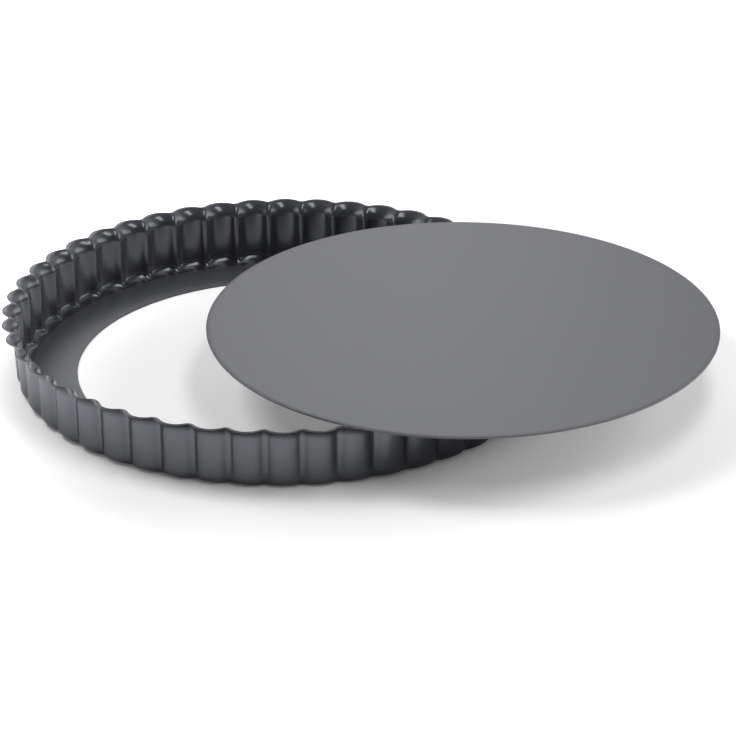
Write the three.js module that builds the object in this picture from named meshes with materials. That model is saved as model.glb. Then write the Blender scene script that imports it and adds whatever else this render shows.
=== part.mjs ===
// A fluted tart pan with a loose base, in millimetres, +Z up.
//
// The ring is one drawn sheet. A flat round ledge runs round a wide opening and bends up into a wall with
// a little draft. The flutes grow out of the bend, and the lip flares out in one scallop to each flute.
// The base is a flat disc. In use it drops into the ring and seats on the ledge. Here the pan is
// shown apart: the base lies flat across the rim, moved to one side.
import * as THREE from "three";

// The loose base
const BASE_DIAMETER = 252.5;
const BASE_THICKNESS = 0.9;
const BASE_EDGE_BREAK = 0.2; // small chamfer round both edges of the cut disc

// The ring's sheet, its ledge and the bend at its foot
const SHEET = 0.7;
const OPENING_DIAMETER = 207.5;
const SEAT_CLEARANCE = 0.7; // from the seated base's edge to the start of the foot bend
const FOOT_BEND = 3.8; // inside radius, along a groove

// The wall and its flared lip
const PAN_HEIGHT = 32.5;
const WALL_DRAFT = THREE.MathUtils.degToRad(1); // from the vertical
const LIP_HEIGHT = 6.5; // the part of the height that the flare takes up
const LIP_TURN = THREE.MathUtils.degToRad(80); // further turn outwards, from the wall to the edge

// The flutes: panels that swell outwards, with a rounded groove between each two
const FLUTE_COUNT = 48;
const FLUTE_DEPTH_AT_FOOT = 2.3;
const FLUTE_DEPTH_AT_RIM = 3.4;
const GROOVE_WIDTH = 3.4; // of the rounded crease, at the foot

// Where the base lies across the rim, from the ring's axis
const BASE_SHIFT_X = 88;
const BASE_SHIFT_Y = -23.2;
const REST_GAP = 0.3;

// Facets
const STEPS_PER_FLUTE = 6;
const STEPS_PER_FOOT_BEND = 3;
const STEPS_PER_LIP = 4;
const STEPS_ROUND_BASE = 144;

// The dark grey non-stick coating, a little shinier on the ring
const COATING_COLOUR = 0x55575b;
const COATING_METALNESS = 0.4;
const RING_ROUGHNESS = 0.35;
const BASE_ROUGHNESS = 0.5;

const baseRadius = BASE_DIAMETER / 2;
const openingRadius = OPENING_DIAMETER / 2;
const seatRadius = baseRadius + SEAT_CLEARANCE;
const footCentre = new THREE.Vector2(seatRadius, SHEET + FOOT_BEND);

// The points of an arc in the radius and height plane, its ends included
function arcPoints(centre, radius, from, to, steps) {
  const clockwise = to < from;
  return new THREE.EllipseCurve(centre.x, centre.y, radius, radius, from, to, clockwise).getPoints(steps);
}

// The closed section of the sheet along a groove, where the wall stands furthest in.
// The bends of its two faces share their centres, so the sheet keeps one thickness.
function ringSection() {
  const wallNormal = -WALL_DRAFT; // the way the wall's outside face looks
  const footEnd = new THREE.Vector2(Math.cos(wallNormal), Math.sin(wallNormal))
    .multiplyScalar(FOOT_BEND)
    .add(footCentre);

  const lipTilt = WALL_DRAFT + LIP_TURN;
  const lipRadius = LIP_HEIGHT / (Math.sin(lipTilt) - Math.sin(WALL_DRAFT));
  const lipStartHeight = PAN_HEIGHT - LIP_HEIGHT;
  const lipStart = new THREE.Vector2(
    footEnd.x + (lipStartHeight - footEnd.y) * Math.tan(WALL_DRAFT),
    lipStartHeight,
  );
  const lipCentre = new THREE.Vector2(Math.cos(wallNormal), Math.sin(wallNormal))
    .multiplyScalar(lipRadius)
    .add(lipStart);
  const lipFrom = Math.PI - WALL_DRAFT;
  const lipTo = Math.PI - lipTilt;
  const footFrom = -Math.PI / 2;

  const outsideFace = [
    new THREE.Vector2(openingRadius, 0),
    ...arcPoints(footCentre, FOOT_BEND + SHEET, footFrom, wallNormal, STEPS_PER_FOOT_BEND),
    ...arcPoints(lipCentre, lipRadius - SHEET, lipFrom, lipTo, STEPS_PER_LIP),
  ];
  const insideFace = [
    ...arcPoints(lipCentre, lipRadius, lipTo, lipFrom, STEPS_PER_LIP),
    ...arcPoints(footCentre, FOOT_BEND, wallNormal, footFrom, STEPS_PER_FOOT_BEND),
    new THREE.Vector2(openingRadius, SHEET),
  ];
  return [...outsideFace, ...insideFace, outsideFace[0]];
}

// How far a flute stands out at an angle from the middle of a panel, from 0 in a groove to 1.
// Across a panel it is a parabola, and the crease between two panels is rounded by another.
function fluteSwell(angle) {
  const pitch = (2 * Math.PI) / FLUTE_COUNT;
  const crease = GROOVE_WIDTH / (seatRadius * pitch);
  const turns = THREE.MathUtils.euclideanModulo(angle / pitch + 0.5, 1);
  const fromMiddle = Math.abs(2 * turns - 1);
  const panelEnd = 1 - crease;
  const swell =
    fromMiddle < panelEnd
      ? 1 - fromMiddle ** 2
      : crease + (panelEnd / crease) * (1 - fromMiddle) ** 2;
  return (swell - crease) / (1 - crease);
}

// How much of the flutes a point of the ring has: none on the ledge, all on the wall, and in the bend
// between them the more the further the sheet has turned up.
function fluteShare(radius, height) {
  const outwards = radius - footCentre.x;
  const below = footCentre.y - height;
  if (outwards <= 0) {
    return 0;
  }
  return below > 0 ? outwards / Math.hypot(outwards, below) : 1;
}

// Pushes the wall of a plain turned ring out into its flutes
function pushOutFlutes(geometry) {
  const place = geometry.getAttribute("position");
  for (let i = 0; i < place.count; i += 1) {
    const x = place.getX(i);
    const y = place.getY(i);
    const z = place.getZ(i);
    const radius = Math.hypot(x, y);
    const depth = THREE.MathUtils.mapLinear(z, 0, PAN_HEIGHT, FLUTE_DEPTH_AT_FOOT, FLUTE_DEPTH_AT_RIM);
    const angleFromFront = Math.atan2(x, -y);
    const push = depth * fluteShare(radius, z) * fluteSwell(angleFromFront);
    const scale = 1 + push / radius;
    place.setXY(i, x * scale, y * scale);
  }
  geometry.computeVertexNormals();
}

function coating(roughness) {
  return new THREE.MeshStandardMaterial({ color: COATING_COLOUR, roughness, metalness: COATING_METALNESS });
}

function flutedRing() {
  const geometry = new THREE.LatheGeometry(ringSection(), FLUTE_COUNT * STEPS_PER_FLUTE);
  geometry.rotateX(Math.PI / 2);
  pushOutFlutes(geometry);
  const ring = new THREE.Mesh(geometry, coating(RING_ROUGHNESS));
  ring.name = "fluted_ring";
  return ring;
}

function looseBase() {
  const section = [
    new THREE.Vector2(0, 0),
    new THREE.Vector2(baseRadius - BASE_EDGE_BREAK, 0),
    new THREE.Vector2(baseRadius, BASE_EDGE_BREAK),
    new THREE.Vector2(baseRadius, BASE_THICKNESS - BASE_EDGE_BREAK),
    new THREE.Vector2(baseRadius - BASE_EDGE_BREAK, BASE_THICKNESS),
    new THREE.Vector2(0, BASE_THICKNESS),
  ];
  const geometry = new THREE.LatheGeometry(section, STEPS_ROUND_BASE);
  geometry.rotateX(Math.PI / 2);
  const base = new THREE.Mesh(geometry, coating(BASE_ROUGHNESS));
  base.name = "loose_base";
  base.position.set(BASE_SHIFT_X, BASE_SHIFT_Y, PAN_HEIGHT + REST_GAP);
  return base;
}

// The two pieces stand with the middle of their common box over the origin, on the plane z = 0.
const pieces = new THREE.Group();
pieces.add(flutedRing(), looseBase());
const box = new THREE.Box3().setFromObject(pieces);
const middle = box.getCenter(new THREE.Vector3());
pieces.position.set(-middle.x, -middle.y, -box.min.z);

const tartPan = new THREE.Group();
tartPan.add(pieces);

export default tartPan;
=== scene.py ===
# A fluted tart pan in dark grey non-stick steel. Its loose base lies across the rim of its ring.
# All lengths are in metres, in the frame of the solids: +Z up, +X to the side that the base is moved to.
import math

import bpy
import numpy as np
from mathutils import Matrix, Vector


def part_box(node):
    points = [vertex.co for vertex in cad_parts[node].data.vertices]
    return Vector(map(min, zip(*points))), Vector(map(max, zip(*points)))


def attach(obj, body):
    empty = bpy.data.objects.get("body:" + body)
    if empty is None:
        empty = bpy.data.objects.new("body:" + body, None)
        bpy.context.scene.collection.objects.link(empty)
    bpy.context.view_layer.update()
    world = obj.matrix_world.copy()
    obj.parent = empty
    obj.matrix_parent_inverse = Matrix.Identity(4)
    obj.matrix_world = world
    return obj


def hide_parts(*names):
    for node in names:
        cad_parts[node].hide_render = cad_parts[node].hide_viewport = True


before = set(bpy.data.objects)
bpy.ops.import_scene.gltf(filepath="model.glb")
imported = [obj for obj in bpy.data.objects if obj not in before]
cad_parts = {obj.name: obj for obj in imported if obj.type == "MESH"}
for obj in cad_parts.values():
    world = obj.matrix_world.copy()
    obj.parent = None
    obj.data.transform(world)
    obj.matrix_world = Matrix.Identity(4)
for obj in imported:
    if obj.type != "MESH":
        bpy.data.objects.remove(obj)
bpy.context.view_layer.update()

MM = 0.001

# What the frame gives: the foot of the ring's axis, the pan's height, and the base's place and size
RING_LOW, RING_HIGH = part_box("fluted_ring")
RING_MIDDLE = (RING_LOW + RING_HIGH) / 2
RING_FOOT = Vector((RING_MIDDLE.x, RING_MIDDLE.y, 0))
PAN_HEIGHT = RING_HIGH.z
BASE_LOW, BASE_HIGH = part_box("loose_base")
BASE_MIDDLE = (BASE_LOW + BASE_HIGH) / 2
BASE_RADIUS = (BASE_HIGH.x - BASE_LOW.x) / 2
BASE_THICKNESS = BASE_HIGH.z - BASE_LOW.z

# The ring's sheet, its ledge and the bend at its foot. The margin places a ring of points on the flat
# ledge close to the bend, so that the rest of the ledge is shaded flat.
SHEET = 0.7 * MM
OPENING_RADIUS = 207.5 * MM / 2
SEAT_CLEARANCE = 0.7 * MM
SEAT_RADIUS = BASE_RADIUS + SEAT_CLEARANCE
SEAT_MARGIN = 2 * MM
FOOT_BEND = 3.8 * MM
CUT_EDGE_ROUND = 0.25 * MM

# The wall, its flared lip and its flutes. The power of a panel's curve is 2 for a parabola, and a higher
# one makes the panel flatter.
WALL_DRAFT = math.radians(1)
LIP_HEIGHT = 6.5 * MM
LIP_TURN = math.radians(80)
FLUTE_COUNT = 48
FLUTE_DEPTH_AT_FOOT = 2.3 * MM
FLUTE_DEPTH_AT_RIM = 3.4 * MM
GROOVE_WIDTH = 3.4 * MM
PANEL_POWER_AT_FOOT = 3.2
PANEL_POWER_AT_RIM = 2

# How finely the curved surfaces are cut up, and the rings of points on the flat faces of the base, as
# shares of its radius
STEPS_PER_FLUTE = 32
STEPS_PER_BEND = 12
STEPS_UP_WALL = 16
STEPS_PER_EDGE = 6
STEPS_ROUND_BASE = 720
BASE_RINGS = (0.33, 0.66, 0.98)

# The coating is one finish, set a little differently for each part of the pan: its colour, the tint of
# its gloss, its roughness, and the index of refraction that gives the strength of its gloss.
RING_SHEEN = (0.88, 0.92, 1)
BASE_SHEEN = (0.92, 0.945, 1)
# On the ring these colours paint in light and shade on the one finish: the lip and the ledge are painted
# lighter than the inside, and the outside darker.
INSIDE_COATING = ("ring_inside_coating", (0.034, 0.035, 0.041), RING_SHEEN, 0.22, 1.83)
OUTSIDE_COATING = ("ring_outside_coating", (0.025, 0.026, 0.032), RING_SHEEN, 0.2, 2.32)
LEDGE_COATING = ("ring_ledge_coating", (0.058, 0.06, 0.068), RING_SHEEN, 0.36, 1.75)
LIP_COATING = ("ring_lip_coating", (0.058, 0.06, 0.068), RING_SHEEN, 0.21, 1.8)
BASE_COATING = ("base_coating", (0.102, 0.104, 0.114), BASE_SHEEN, 0.45, 1.8)
RING_COATINGS = (INSIDE_COATING, OUTSIDE_COATING, LEDGE_COATING, LIP_COATING)

# Its detail: a mottle that changes the colour and the gloss a little, and a fine sprayed grain
MOTTLE_SCALE = 60
MOTTLE_DETAIL = 4
DARKEST_MOTTLE = 0.92
LIGHTEST_MOTTLE = 1.08
GLOSS_CHANGE = 0.03
GRAIN_SCALE = 2500
GRAIN_DETAIL = 2
GRAIN_STRENGTH = 0.15
GRAIN_DEPTH = 0.03 * MM

# The camera, fitted to the photograph's frame of 736 by 736 pixels. It looks at the foot of the ring's
# axis from its distance, elevation and azimuth, and is then turned by its yaw, pitch and roll.
IMAGE_WIDTH_PX = 736
FOCAL_LENGTH_PX = 3408.9
SENSOR_WIDTH_MM = 36
CAMERA_DISTANCE = 1.7121
CAMERA_ELEVATION = math.radians(25.474)
CAMERA_AZIMUTH = math.radians(0.51)
CAMERA_YAW = math.radians(-1.396)
CAMERA_PITCH = math.radians(-0.056)
CAMERA_ROLL = math.radians(0.828)

# The floor. The camera and the reflections see it glow, a painted light, a little round the middle of its
# shaded side and to white further from there. Within the reach of what stands on it the glow fades and, in
# reflections, its colour darkens: painted shade.
FLOOR_HALF_WIDTH = 6
FLOOR_DROP = 0.05 * MM
FLOOR_COLOUR = (0.93, 0.93, 0.93, 1)
FLOOR_GLOW = 0.18
SHADED_SIDE = (0.1, -0.05)
WHITE_FROM = 0.22
WHITE_AT = 0.36
CONTACT_REACH = 20 * MM
REFLECTED_CONTACT_REACH = 60 * MM

# The tent's brightness at its back and on its low sides, and the dark room's that it is open to.
# A fade is where it starts and ends, in parts of the unit vector of the direction.
TENT_BACK_LEFT = 0.42
TENT_BACK_RIGHT = 0.5
TENT_SIDES = 1.8
DARK_ROOM = 0.05
LEFT_TO_RIGHT_FADE = (-0.6, 0.6)
FRONT_TO_BACK_FADE = (-0.15, 0.15)
SIDES_FADE = (0.75, 0.95)
LOW_SIDES_FADE = (0.35, 0.6)
OPEN_TOP_FADE = (0.6, 0.85)

# A softbox is its place from the foot of the ring's axis, its width, its length from front to back or up,
# its brightness, and whether the coatings show its reflection. The fills are kept out of reflections, so
# they don't.
SOFTBOXES = {
    "key_softbox": ((0.28, -0.24, 0.92), 0.25, 0.85, 4.4, True),
    "back_softbox": ((0.08, 0.95, 0.64), 0.4, 0.7, 1.15, True),
    "left_fill": ((-0.63, 0.2, 0.9), 0.4, 0.5, 8.6, False),
    "right_fill": ((1.0, 0.25, 0.33), 0.8, 0.5, 5.5, False),
}


# Sections in the plane of radius and height

def arc(centre, radius, start, end, steps):
    """The points of an arc, both ends included."""
    angles = np.linspace(start, end, steps + 1)
    return [(centre[0] + radius * math.cos(a), centre[1] + radius * math.sin(a)) for a in angles]


def rounded_edge(middle, outward, half_thickness):
    """The inner points of the half ellipse round a cut sheet's edge, turning anticlockwise.

    middle is the middle of the sheet where the rounding starts, and outward the way the sheet ends.
    """
    points = []
    for step in range(1, STEPS_PER_EDGE):
        turn = math.pi * step / STEPS_PER_EDGE - math.pi / 2
        along = CUT_EDGE_ROUND * math.cos(turn)
        across = half_thickness * math.sin(turn)
        points.append((
            middle[0] + along * outward[0] - across * outward[1],
            middle[1] + along * outward[1] + across * outward[0],
        ))
    return points


def straight(start, end, steps):
    """The points between two points of a section, the ends left out."""
    shares = [step / steps for step in range(1, steps)]
    return [tuple(a + (b - a) * s for a, b in zip(start, end)) for s in shares]


def ring_section():
    """The ring's sheet cut along a groove, where the wall stands furthest in: its outside, then its inside.

    The two runs of points together make a closed section.
    """
    wall_normal = -WALL_DRAFT
    foot_centre = (SEAT_RADIUS, SHEET + FOOT_BEND)
    foot_end = (
        foot_centre[0] + FOOT_BEND * math.cos(wall_normal),
        foot_centre[1] + FOOT_BEND * math.sin(wall_normal),
    )
    lip_tilt = WALL_DRAFT + LIP_TURN
    lip_radius = LIP_HEIGHT / (math.sin(lip_tilt) - math.sin(WALL_DRAFT))
    lip_start = PAN_HEIGHT - LIP_HEIGHT
    lip_centre = (
        foot_end[0] + (lip_start - foot_end[1]) * math.tan(WALL_DRAFT) + lip_radius * math.cos(wall_normal),
        lip_start + lip_radius * math.sin(wall_normal),
    )
    lip_from = math.pi - WALL_DRAFT
    lip_to = math.pi - lip_tilt + CUT_EDGE_ROUND / lip_radius
    edge_radius = lip_radius - SHEET / 2
    lip_edge = (
        lip_centre[0] + edge_radius * math.cos(lip_to),
        lip_centre[1] + edge_radius * math.sin(lip_to),
    )
    lip_outward = (math.sin(lip_to), -math.cos(lip_to))

    inner_edge = OPENING_RADIUS + CUT_EDGE_ROUND
    inward = (-1.0, 0.0)
    outer_foot = arc(foot_centre, FOOT_BEND + SHEET, -math.pi / 2, wall_normal, STEPS_PER_BEND)
    outer_lip = arc(lip_centre, lip_radius - SHEET, lip_from, lip_to, STEPS_PER_BEND)
    inner_lip = arc(lip_centre, lip_radius, lip_to, lip_from, STEPS_PER_BEND)
    inner_foot = arc(foot_centre, FOOT_BEND, wall_normal, -math.pi / 2, STEPS_PER_BEND)
    outside = [
        (inner_edge, 0.0),
        (SEAT_RADIUS - SEAT_MARGIN, 0.0),
        *outer_foot,
        *straight(outer_foot[-1], outer_lip[0], STEPS_UP_WALL),
        *outer_lip,
    ]
    inside = [
        *rounded_edge(lip_edge, lip_outward, SHEET / 2),
        *inner_lip,
        *straight(inner_lip[-1], inner_foot[0], STEPS_UP_WALL),
        *inner_foot,
        (SEAT_RADIUS - SEAT_MARGIN, SHEET),
        (inner_edge, SHEET),
        *rounded_edge((inner_edge, SHEET / 2), inward, SHEET / 2),
    ]
    return outside, inside


def base_section():
    """Half the section of the base, from the middle of its underside to the middle of its top."""
    edge = BASE_RADIUS - CUT_EDGE_ROUND
    half = BASE_THICKNESS / 2
    bottom = BASE_LOW.z
    top = BASE_HIGH.z
    outward = (1.0, 0.0)
    inner_rings = [share * BASE_RADIUS for share in BASE_RINGS]
    return [
        (0.0, bottom),
        *[(radius, bottom) for radius in inner_rings],
        (edge, bottom),
        *rounded_edge((edge, bottom + half), outward, half),
        (edge, top),
        *[(radius, top) for radius in reversed(inner_rings)],
        (0.0, top),
    ]


# Meshes

def flute_swell(turns, power):
    """How far a flute stands out, from 0 in a groove to 1, by the turns of a flute from its middle.

    A higher power makes the panel flatter and its sides steeper. The crease is rounded by a parabola.
    """
    pitch = 2 * math.pi / FLUTE_COUNT
    crease = GROOVE_WIDTH / (SEAT_RADIUS * pitch)
    panel_end = 1 - crease
    from_middle = np.abs(2 * np.mod(turns + 0.5, 1) - 1)
    panel = 1 - from_middle**power
    curve = power * panel_end ** (power - 1) / (2 * crease)
    bottom = 1 - panel_end**power - curve * crease**2
    rounded = bottom + curve * (1 - from_middle) ** 2
    swell = np.where(from_middle < panel_end, panel, rounded)
    return (swell - bottom) / (1 - bottom)


def flute_share(section):
    """How much of the flutes each point of the section has: none on the ledge, all on the wall.

    In the bend between them it is the more the further the sheet has turned up.
    """
    outwards = np.maximum(section[:, 0] - SEAT_RADIUS, 0)
    below = np.maximum(SHEET + FOOT_BEND - section[:, 1], 0)
    return outwards / np.hypot(outwards, below)


def mesh_object(name, points, faces):
    """A new object in the scene, shaded smooth."""
    mesh = bpy.data.meshes.new(name)
    mesh.from_pydata(points, [], faces)
    mesh.shade_smooth()
    mesh.update()
    piece = bpy.data.objects.new(name, mesh)
    bpy.context.scene.collection.objects.link(piece)
    return piece


def ring_points(section):
    """The section turned round the ring's axis from the front and pushed out into its flutes."""
    turns = np.arange(FLUTE_COUNT * STEPS_PER_FLUTE) / STEPS_PER_FLUTE
    angles = turns * 2 * math.pi / FLUTE_COUNT
    rise = section[:, 1] / PAN_HEIGHT
    depth = FLUTE_DEPTH_AT_FOOT + (FLUTE_DEPTH_AT_RIM - FLUTE_DEPTH_AT_FOOT) * rise
    power = PANEL_POWER_AT_FOOT + (PANEL_POWER_AT_RIM - PANEL_POWER_AT_FOOT) * rise
    push = depth * flute_share(section)
    radius = section[None, :, 0] + push[None, :] * flute_swell(turns[:, None], power[None, :])
    return np.stack((
        RING_FOOT.x + radius * np.sin(angles)[:, None],
        RING_FOOT.y - radius * np.cos(angles)[:, None],
        np.broadcast_to(section[None, :, 1], radius.shape),
    ), axis=-1).reshape(-1, 3)


def ring_coating_strip(outside, inside):
    """Which of the ring's coatings each face of one step round the ring has, in the order of its section."""
    flat_ledge_faces = 2
    ledge_faces = flat_ledge_faces + STEPS_PER_EDGE
    lip_faces = STEPS_PER_EDGE + STEPS_PER_BEND
    wall_faces = len(inside) + 1 - lip_faces - ledge_faces
    # The lip and the ledge get the colours painted lighter, the outside the one painted darker, as painted
    # light and shade.
    runs = (
        (OUTSIDE_COATING, len(outside) - 1),
        (LIP_COATING, lip_faces),
        (INSIDE_COATING, wall_faces),
        (LEDGE_COATING, ledge_faces),
    )
    return [RING_COATINGS.index(setting) for setting, count in runs for _ in range(count)]


def make_ring():
    """The fluted ring, closed all round, with a coating for each of its parts."""
    outside, inside = ring_section()
    section = np.array(outside + inside)
    steps = FLUTE_COUNT * STEPS_PER_FLUTE
    count = len(section)
    faces = []
    for step in range(steps):
        here = step * count
        there = (step + 1) % steps * count
        for i in range(count):
            j = (i + 1) % count
            faces.append((here + i, there + i, there + j, here + j))
    piece = mesh_object("tart_ring", ring_points(section).tolist(), faces)
    for setting in RING_COATINGS:
        piece.data.materials.append(coating(*setting))
    piece.data.polygons.foreach_set("material_index", ring_coating_strip(outside, inside) * steps)
    return piece


def make_base():
    """The flat disc, its section turned round its own axis."""
    section = base_section()
    rings = section[1:-1]
    count = len(rings)
    points = []
    for step in range(STEPS_ROUND_BASE):
        angle = 2 * math.pi * step / STEPS_ROUND_BASE
        for radius, height in rings:
            points.append((
                BASE_MIDDLE.x + radius * math.cos(angle),
                BASE_MIDDLE.y + radius * math.sin(angle),
                height,
            ))
    bottom = len(points)
    top = bottom + 1
    points.append((BASE_MIDDLE.x, BASE_MIDDLE.y, section[0][1]))
    points.append((BASE_MIDDLE.x, BASE_MIDDLE.y, section[-1][1]))
    faces = []
    for step in range(STEPS_ROUND_BASE):
        here = step * count
        there = (step + 1) % STEPS_ROUND_BASE * count
        faces.append((bottom, there, here))
        for i in range(count - 1):
            faces.append((here + i, there + i, there + i + 1, here + i + 1))
        faces.append((top, here + count - 1, there + count - 1))
    piece = mesh_object("tart_base", points, faces)
    piece.data.materials.append(coating(*BASE_COATING))
    return piece


# Values in node trees

def ramp(tree, value, fade, first, last):
    """A smooth step between two levels, as a value goes from the start to the end of a fade."""
    step = tree.nodes.new("ShaderNodeMapRange")
    step.interpolation_type = "SMOOTHSTEP"
    step.inputs["From Min"].default_value = fade[0]
    step.inputs["From Max"].default_value = fade[1]
    step.inputs["To Min"].default_value = first
    step.inputs["To Max"].default_value = last
    tree.links.new(value, step.inputs["Value"])
    return step.outputs["Result"]


def spread(tree, value, lowest, highest):
    """A value from 0 to 1, spread evenly between two levels."""
    scale = tree.nodes.new("ShaderNodeMapRange")
    scale.inputs["To Min"].default_value = lowest
    scale.inputs["To Max"].default_value = highest
    tree.links.new(value, scale.inputs["Value"])
    return scale.outputs["Result"]


def combine(tree, operation, *values):
    """The result of a mathematical operation on values."""
    node = tree.nodes.new("ShaderNodeMath")
    node.operation = operation
    for socket, value in zip(node.inputs, values):
        tree.links.new(value, socket)
    return node.outputs["Value"]


def noise(tree, scale, detail):
    """Noise from 0 to 1 in the object's own space."""
    place = tree.nodes.new("ShaderNodeTexCoord")
    texture = tree.nodes.new("ShaderNodeTexNoise")
    texture.inputs["Scale"].default_value = scale
    texture.inputs["Detail"].default_value = detail
    tree.links.new(place.outputs["Object"], texture.inputs["Vector"])
    return texture.outputs["Fac"]


# Materials

def coating(name, colour, sheen, roughness, gloss_index):
    """Dark grey non-stick coating: a faint mottle, an uneven gloss and a fine sprayed grain."""
    material = bpy.data.materials.new(name)
    material.use_nodes = True
    tree = material.node_tree
    shader = tree.nodes["Principled BSDF"]
    shader.inputs["IOR"].default_value = gloss_index
    shader.inputs["Specular Tint"].default_value = (*sheen, 1)

    mottle = noise(tree, MOTTLE_SCALE, MOTTLE_DETAIL)
    tint = tree.nodes.new("ShaderNodeMix")
    tint.data_type = "RGBA"
    tint.blend_type = "MULTIPLY"
    tint.inputs["Factor"].default_value = 1
    tint.inputs["A"].default_value = (*colour, 1)
    tree.links.new(spread(tree, mottle, DARKEST_MOTTLE, LIGHTEST_MOTTLE), tint.inputs["B"])
    tree.links.new(tint.outputs["Result"], shader.inputs["Base Color"])
    gloss = spread(tree, mottle, roughness - GLOSS_CHANGE, roughness + GLOSS_CHANGE)
    tree.links.new(gloss, shader.inputs["Roughness"])

    bump = tree.nodes.new("ShaderNodeBump")
    bump.inputs["Strength"].default_value = GRAIN_STRENGTH
    bump.inputs["Distance"].default_value = GRAIN_DEPTH
    tree.links.new(noise(tree, GRAIN_SCALE, GRAIN_DETAIL), bump.inputs["Height"])
    tree.links.new(bump.outputs["Normal"], shader.inputs["Normal"])
    return material


def floor_material():
    """A white floor that keeps the shadows and glows to the camera and in reflections, a painted light.

    Close round the things that stand on it the glow fades, and in reflections the floor's colour is darkened
    there too: painted contact shade.
    """
    material = bpy.data.materials.new("white_floor")
    material.use_nodes = True
    tree = material.node_tree
    tree.nodes.clear()
    light_path = tree.nodes.new("ShaderNodeLightPath")
    to_camera = light_path.outputs["Is Camera Ray"]
    in_reflection = light_path.outputs["Is Glossy Ray"]

    reach = tree.nodes.new("ShaderNodeMix")
    reach.inputs["A"].default_value = CONTACT_REACH
    reach.inputs["B"].default_value = REFLECTED_CONTACT_REACH
    tree.links.new(in_reflection, reach.inputs["Factor"])
    # Ambient occlusion paints shade close round what stands on the floor: it fades the glow, and darkens the
    # floor's colour in reflections.
    contact_shade = tree.nodes.new("ShaderNodeAmbientOcclusion")
    contact_shade.inputs["Color"].default_value = FLOOR_COLOUR
    tree.links.new(reach.outputs["Result"], contact_shade.inputs["Distance"])

    colour = tree.nodes.new("ShaderNodeMix")
    colour.data_type = "RGBA"
    colour.inputs["A"].default_value = FLOOR_COLOUR
    tree.links.new(in_reflection, colour.inputs["Factor"])
    tree.links.new(contact_shade.outputs["Color"], colour.inputs["B"])
    matt = tree.nodes.new("ShaderNodeBsdfDiffuse")
    tree.links.new(colour.outputs["Result"], matt.inputs["Color"])

    place = tree.nodes.new("ShaderNodeTexCoord")
    away = tree.nodes.new("ShaderNodeVectorMath")
    away.operation = "LENGTH"
    tree.links.new(place.outputs["Object"], away.inputs[0])
    white = ramp(tree, away.outputs["Value"], (WHITE_FROM, WHITE_AT), FLOOR_GLOW, 1)
    seen = combine(tree, "MAXIMUM", to_camera, in_reflection)
    level = combine(tree, "MULTIPLY", seen, white)
    level = combine(tree, "MULTIPLY", level, contact_shade.outputs["AO"])
    glow = tree.nodes.new("ShaderNodeEmission")
    tree.links.new(level, glow.inputs["Strength"])

    both = tree.nodes.new("ShaderNodeAddShader")
    tree.links.new(matt.outputs["BSDF"], both.inputs[0])
    tree.links.new(glow.outputs["Emission"], both.inputs[1])
    output = tree.nodes.new("ShaderNodeOutputMaterial")
    tree.links.new(both.outputs["Shader"], output.inputs["Surface"])
    return material


# Stage

def make_floor():
    """A square floor just under the pan. Its origin is the middle of its shaded side."""
    half = FLOOR_HALF_WIDTH
    points = [(-half, -half, 0), (half, -half, 0), (half, half, 0), (-half, half, 0)]
    floor = mesh_object("floor", points, [(0, 1, 2, 3)])
    floor.location = (*SHADED_SIDE, -FLOOR_DROP)
    floor.data.materials.append(floor_material())


def make_world():
    """A white tent round the pan, open above and on the camera's side. The camera sees only white."""
    world = bpy.data.worlds.new("studio")
    world.use_nodes = True
    bpy.context.scene.world = world
    tree = world.node_tree
    background = tree.nodes["Background"]
    background.inputs["Color"].default_value = (1, 1, 1, 1)
    direction = tree.nodes.new("ShaderNodeTexCoord")
    parts = tree.nodes.new("ShaderNodeSeparateXYZ")
    tree.links.new(direction.outputs["Generated"], parts.inputs["Vector"])
    right = parts.outputs["X"]
    back = parts.outputs["Y"]
    up = parts.outputs["Z"]
    sideways = combine(tree, "ABSOLUTE", right)

    back_wall = combine(
        tree,
        "MULTIPLY",
        ramp(tree, right, LEFT_TO_RIGHT_FADE, TENT_BACK_LEFT, TENT_BACK_RIGHT),
        ramp(tree, back, FRONT_TO_BACK_FADE, DARK_ROOM, 1),
    )
    open_top = ramp(tree, up, OPEN_TOP_FADE, 1, DARK_ROOM)
    sides = ramp(tree, sideways, SIDES_FADE, 0, TENT_SIDES)
    low = ramp(tree, up, LOW_SIDES_FADE, 1, 0)
    low_sides = combine(tree, "MULTIPLY", sides, low)
    tent = combine(tree, "ADD", combine(tree, "MULTIPLY", back_wall, open_top), low_sides)

    light_path = tree.nodes.new("ShaderNodeLightPath")
    shown = combine(tree, "MAXIMUM", tent, light_path.outputs["Is Camera Ray"])
    tree.links.new(shown, background.inputs["Strength"])


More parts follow.
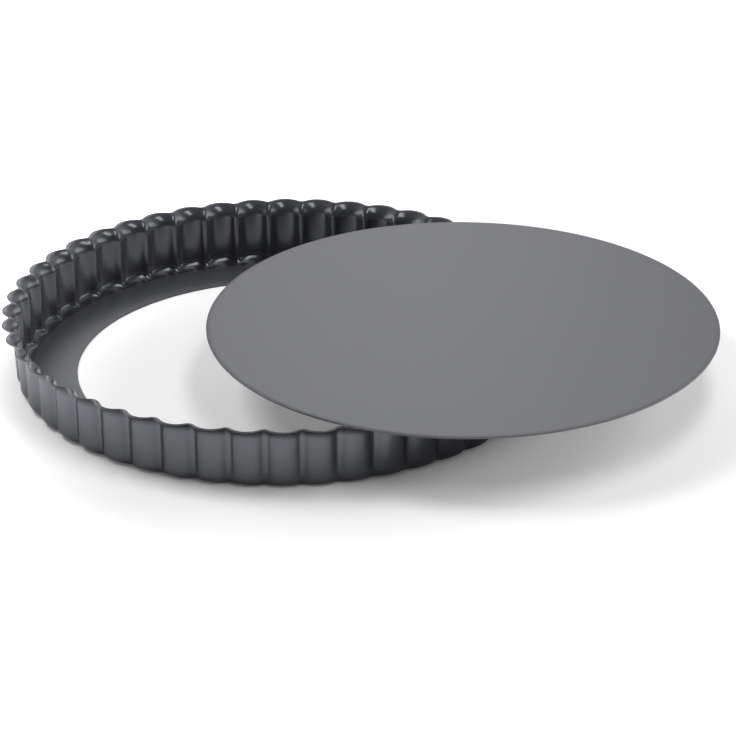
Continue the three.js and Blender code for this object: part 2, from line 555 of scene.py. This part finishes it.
def make_softbox(name, place, width, length, brightness, reflected):
    """A flat lamp that looks at the pan. Its power gives its face the stated brightness."""
    lamp = bpy.data.lights.new(name, "AREA")
    lamp.shape = "RECTANGLE"
    lamp.size = width
    lamp.size_y = length
    lamp.energy = brightness * math.pi * width * length
    softbox = bpy.data.objects.new(name, lamp)
    front_to_back = Vector((0, 1, 0))
    away = Vector(place).normalized()
    across = front_to_back.cross(away).normalized()
    along = away.cross(across)
    softbox.matrix_world = Matrix((across, along, away)).transposed().to_4x4()
    softbox.location = RING_FOOT + Vector(place)
    softbox.visible_glossy = reflected
    bpy.context.scene.collection.objects.link(softbox)


def make_camera():
    """Stands the camera where the photograph was taken from, measured from the foot of the ring's axis."""
    forward = Vector((0, math.cos(CAMERA_ELEVATION), -math.sin(CAMERA_ELEVATION)))
    right = Vector((1, 0, 0))
    up = right.cross(forward)
    place = -CAMERA_DISTANCE * forward
    yaw = Matrix.Rotation(CAMERA_YAW, 3, up)
    right = yaw @ right
    forward = yaw @ forward
    pitch = Matrix.Rotation(CAMERA_PITCH, 3, right)
    up = pitch @ up
    forward = pitch @ forward
    roll = Matrix.Rotation(CAMERA_ROLL, 3, forward)
    right = roll @ right
    up = roll @ up
    turn = Matrix.Rotation(CAMERA_AZIMUTH, 3, "Z")
    axes = turn @ Matrix((right, up, -forward)).transposed()
    lens = bpy.data.cameras.new("camera")
    lens.sensor_width = SENSOR_WIDTH_MM
    lens.lens = FOCAL_LENGTH_PX / IMAGE_WIDTH_PX * SENSOR_WIDTH_MM
    camera = bpy.data.objects.new("camera", lens)
    camera.matrix_world = Matrix.Translation(RING_FOOT + turn @ place) @ axes.to_4x4()
    bpy.context.scene.collection.objects.link(camera)
    bpy.context.scene.camera = camera


ring = make_ring()
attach(ring, "ring")
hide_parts("fluted_ring")

base = make_base()
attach(base, "base")
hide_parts("loose_base")

make_floor()
make_world()
for name, settings in SOFTBOXES.items():
    make_softbox(name, *settings)
make_camera()
bpy.context.scene.view_settings.view_transform = "Standard"
